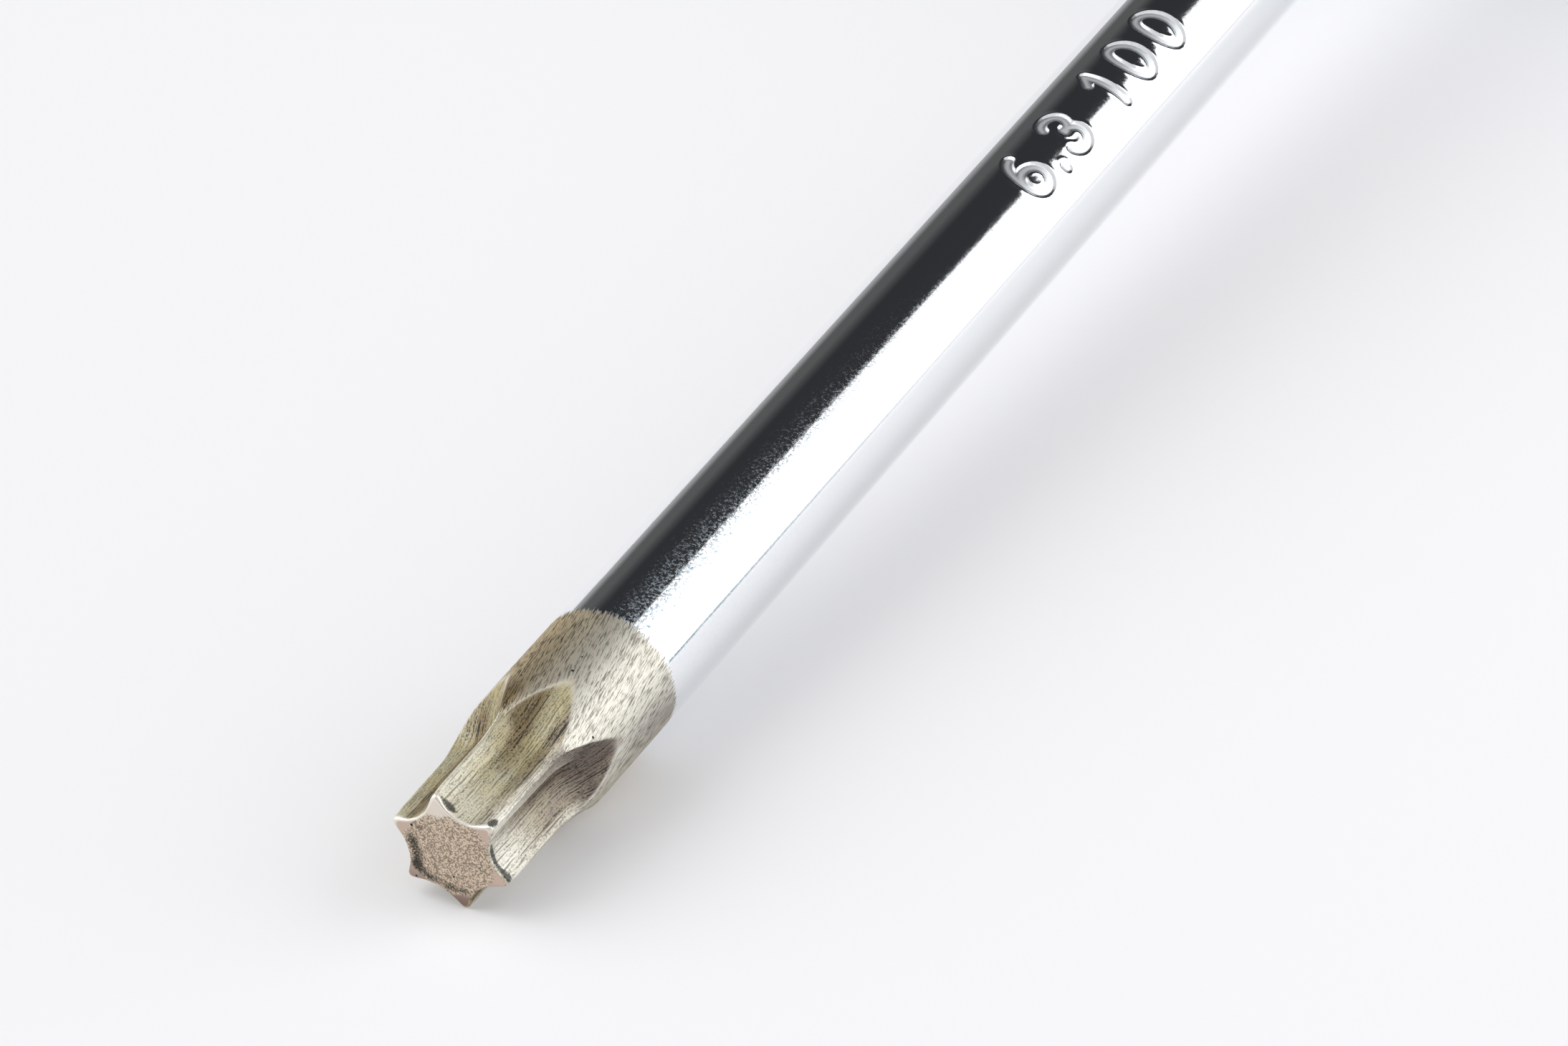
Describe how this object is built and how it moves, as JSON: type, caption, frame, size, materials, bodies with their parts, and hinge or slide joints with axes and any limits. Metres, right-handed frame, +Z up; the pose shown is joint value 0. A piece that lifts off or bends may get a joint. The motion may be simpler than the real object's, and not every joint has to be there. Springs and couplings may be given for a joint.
{
  "type": "screwdriver",
  "caption": "Hand screwdriver with a hexalobular drive tip on a round chrome-plated steel blade, and a hard plastic handle with soft grip pads and a hanging hole.",
  "frame": {"origin": "on the surface the tool lies on, under the middle of its bounding box", "axes": "+X along the tool over the surface, from the tip to the butt; +Z up; the tool's own axis lies in the XZ plane and rises from the tip by 4.87 degrees"},
  "size_m": [0.2072, 0.034, 0.0338],
  "materials": {
    "blade_steel": "bright chrome plate on the shaft, bare ground steel over the first 13 mm at the tip",
    "handle_plastic": "moulded polypropylene, semi-gloss blue",
    "soft_grip": "moulded soft elastomer, matt black",
    "cap_plastic": "moulded polypropylene, fine satin dark grey",
    "disc_plastic": "moulded polypropylene, satin pale grey"
  },
  "bodies": {
    "root": {"blade": "blade_steel", "handle_core": "handle_plastic", "front_grip_ring": "soft_grip", "grip_pad_1": "soft_grip", "grip_pad_2": "soft_grip", "grip_pad_3": "soft_grip", "grip_pad_4": "soft_grip", "grip_pad_5": "soft_grip", "grip_pad_6": "soft_grip", "end_cap": "cap_plastic", "cap_disc": "disc_plastic"}
  },
  "joints": []
}
